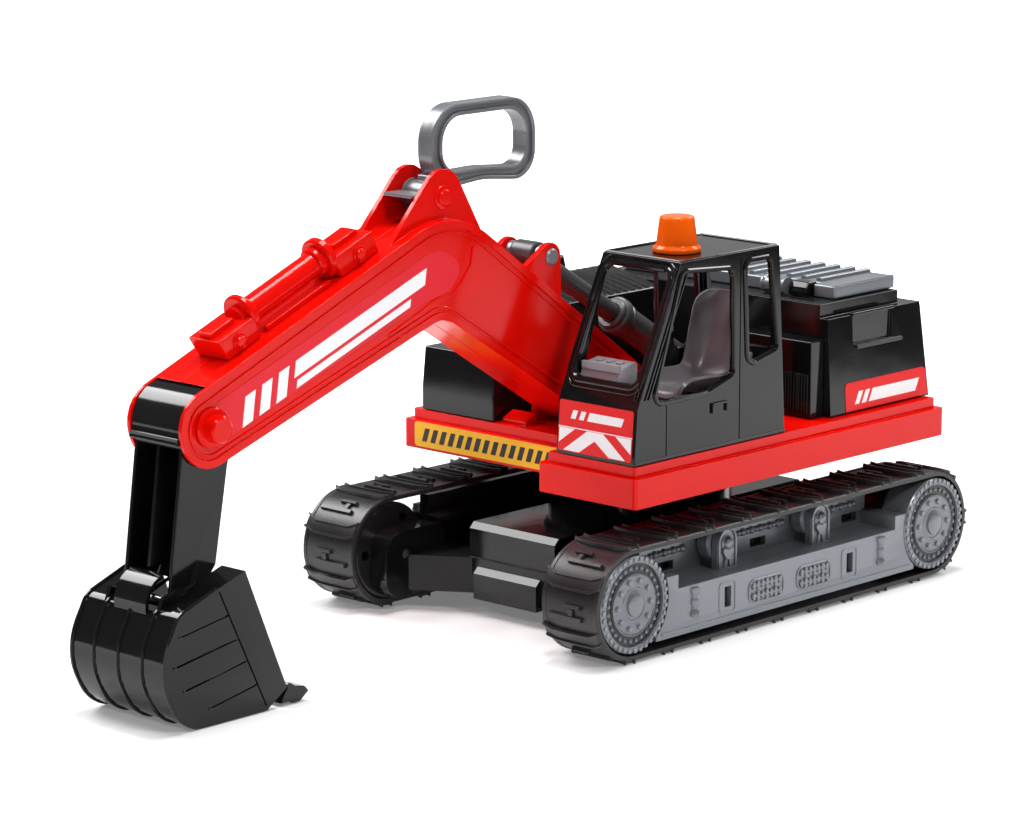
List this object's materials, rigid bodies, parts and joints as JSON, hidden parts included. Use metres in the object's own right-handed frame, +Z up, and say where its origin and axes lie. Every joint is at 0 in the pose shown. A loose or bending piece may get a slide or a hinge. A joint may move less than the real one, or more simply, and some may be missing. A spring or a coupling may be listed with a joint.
{
  "type": "toy excavator",
  "caption": "Toy crawler excavator: slewing deck with open cab and engine cover, two-part boom with a grip handle, swinging arm, digging bucket, belt tracks on turning wheels.",
  "frame": {"origin": "on the ground, under the middle of the bounding box", "axes": "+Z up; +Y to the rear of the machine, so the boom points along -Y; +X to the side the cab is on"},
  "size_m": [0.264, 0.6618, 0.3463],
  "materials": {
    "red_plastic": "glossy",
    "black_plastic": "glossy",
    "belt_rubber": "satin",
    "silver_plastic": "satin",
    "dark_plastic": "satin",
    "seat_plastic": "satin",
    "orange_plastic": "glossy",
    "steel": "satin"
  },
  "bodies": {
    "undercarriage": {"chassis": "black_plastic", "turntable": "black_plastic", "slew_pin": "steel", "side_frame_right": "silver_plastic", "side_frame_left": "silver_plastic", "belt_right": "belt_rubber", "belt_left": "belt_rubber", "axle_front_right": "steel", "axle_front_left": "steel", "axle_rear_right": "steel", "axle_rear_left": "steel"},
    "superstructure": {"deck": "red_plastic", "boom_bracket": "red_plastic", "boom_foot_pin": "dark_plastic", "cab_shell": "black_plastic", "seat": "seat_plastic", "dashboard": "seat_plastic", "beacon": "orange_plastic", "engine_cover": "black_plastic", "engine_lid": "silver_plastic", "latch_bracket": "black_plastic", "latch_roll": "silver_plastic", "vent_box": "black_plastic", "radiator_cover": "black_plastic", "exhaust_stack": "black_plastic", "tool_box": "black_plastic", "ram_foot": "black_plastic", "ram_foot_pin": "dark_plastic"},
    "boom": {"boom_right": "red_plastic", "boom_left": "red_plastic", "dummy_ram": "red_plastic", "arm_pin": "red_plastic", "handle_pin": "red_plastic", "ram_top_pin": "silver_plastic"},
    "ram_barrel": {"ram_barrel": "dark_plastic"},
    "ram_rod": {"ram_rod": "dark_plastic"},
    "handle": {"handle": "silver_plastic"},
    "push_rod": {"push_rod": "silver_plastic"},
    "arm": {"arm": "black_plastic", "bucket_pin": "steel"},
    "bucket": {"bucket": "black_plastic", "bucket_teeth": "black_plastic"},
    "wheel_front_right": {"wheel_rim_front_right": "silver_plastic", "wheel_drum_front_right": "black_plastic"},
    "wheel_front_left": {"wheel_rim_front_left": "silver_plastic", "wheel_drum_front_left": "black_plastic"},
    "wheel_rear_right": {"wheel_rim_rear_right": "silver_plastic", "wheel_drum_rear_right": "black_plastic"},
    "wheel_rear_left": {"wheel_rim_rear_left": "silver_plastic", "wheel_drum_rear_left": "black_plastic"},
    "roller_front_right": {"roller_front_right": "silver_plastic"},
    "roller_front_left": {"roller_front_left": "silver_plastic"},
    "roller_rear_right": {"roller_rear_right": "silver_plastic"},
    "roller_rear_left": {"roller_rear_left": "silver_plastic"}
  },
  "joints": [
    {"name": "slew", "type": "hinge", "parent": "undercarriage", "child": "superstructure", "pos_m": [0, 0.1386, 0.08], "axis": [0, 0, 1], "continuous": true},
    {"name": "boom_lift", "type": "hinge", "parent": "superstructure", "child": "boom", "pos_m": [0, 0.0883, 0.1493], "axis": [-1, 0, 0], "range_deg": [-3, 30]},
    {"name": "ram_barrel_swing", "type": "hinge", "parent": "superstructure", "child": "ram_barrel", "pos_m": [0, 0.1886, 0.1433], "axis": [-1, 0, 0], "range_deg": [-3, 16.5]},
    {"name": "ram_rod_slide", "type": "slide", "parent": "ram_barrel", "child": "ram_rod", "axis": [0, 0.853, -0.5219], "range_m": [-0.0055, 0.0305]},
    {"name": "arm_swing", "type": "hinge", "parent": "boom", "child": "arm", "pos_m": [0, -0.2738, 0.1756], "axis": [1, 0, 0], "range_deg": [-20, 30]},
    {"name": "handle_swing", "type": "hinge", "parent": "boom", "child": "handle", "pos_m": [0, -0.069, 0.2906], "axis": [1, 0, 0], "range_deg": [-20.5, 30.5]},
    {"name": "push_rod_swing", "type": "hinge", "parent": "handle", "child": "push_rod", "pos_m": [0, -0.069, 0.2722], "axis": [1, 0, 0], "range_deg": [-30.5, 20.5]},
    {"name": "bucket_curl", "type": "hinge", "parent": "arm", "child": "bucket", "pos_m": [0, -0.3014, 0.072], "axis": [1, 0, 0], "range_deg": [-45, 60]},
    {"name": "wheel_front_right_spin", "type": "hinge", "parent": "undercarriage", "child": "wheel_front_right", "pos_m": [0.108, -0.0156, 0.038], "axis": [1, 0, 0], "continuous": true},
    {"name": "wheel_front_left_spin", "type": "hinge", "parent": "undercarriage", "child": "wheel_front_left", "pos_m": [-0.108, -0.0156, 0.038], "axis": [1, 0, 0], "continuous": true},
    {"name": "wheel_rear_right_spin", "type": "hinge", "parent": "undercarriage", "child": "wheel_rear_right", "pos_m": [0.108, 0.2928, 0.038], "axis": [1, 0, 0], "continuous": true},
    {"name": "wheel_rear_left_spin", "type": "hinge", "parent": "undercarriage", "child": "wheel_rear_left", "pos_m": [-0.108, 0.2928, 0.038], "axis": [1, 0, 0], "continuous": true},
    {"name": "roller_front_right_spin", "type": "hinge", "parent": "undercarriage", "child": "roller_front_right", "pos_m": [0.1067, 0.0906, 0.0573], "axis": [1, 0, 0], "continuous": true},
    {"name": "roller_front_left_spin", "type": "hinge", "parent": "undercarriage", "child": "roller_front_left", "pos_m": [-0.1067, 0.0906, 0.0573], "axis": [1, 0, 0], "continuous": true},
    {"name": "roller_rear_right_spin", "type": "hinge", "parent": "undercarriage", "child": "roller_rear_right", "pos_m": [0.1067, 0.1866, 0.0573], "axis": [1, 0, 0], "continuous": true},
    {"name": "roller_rear_left_spin", "type": "hinge", "parent": "undercarriage", "child": "roller_rear_left", "pos_m": [-0.1067, 0.1866, 0.0573], "axis": [1, 0, 0], "continuous": true}
  ],
  "couplings": [
    {"joint": "ram_barrel_swing", "follows": "boom_lift", "ratio": 0.534},
    {"joint": "ram_rod_slide", "follows": "boom_lift", "m_per_rad": 0.057009},
    {"joint": "handle_swing", "follows": "arm_swing", "ratio": 1},
    {"joint": "push_rod_swing", "follows": "arm_swing", "ratio": -1},
    {"joint": "wheel_front_right_spin", "follows": "wheel_rear_right_spin", "ratio": 1},
    {"joint": "roller_front_right_spin", "follows": "wheel_rear_right_spin", "ratio": 2.5},
    {"joint": "roller_rear_right_spin", "follows": "wheel_rear_right_spin", "ratio": 2.5},
    {"joint": "wheel_front_left_spin", "follows": "wheel_rear_left_spin", "ratio": 1},
    {"joint": "roller_front_left_spin", "follows": "wheel_rear_left_spin", "ratio": 2.5},
    {"joint": "roller_rear_left_spin", "follows": "wheel_rear_left_spin", "ratio": 2.5}
  ]
}
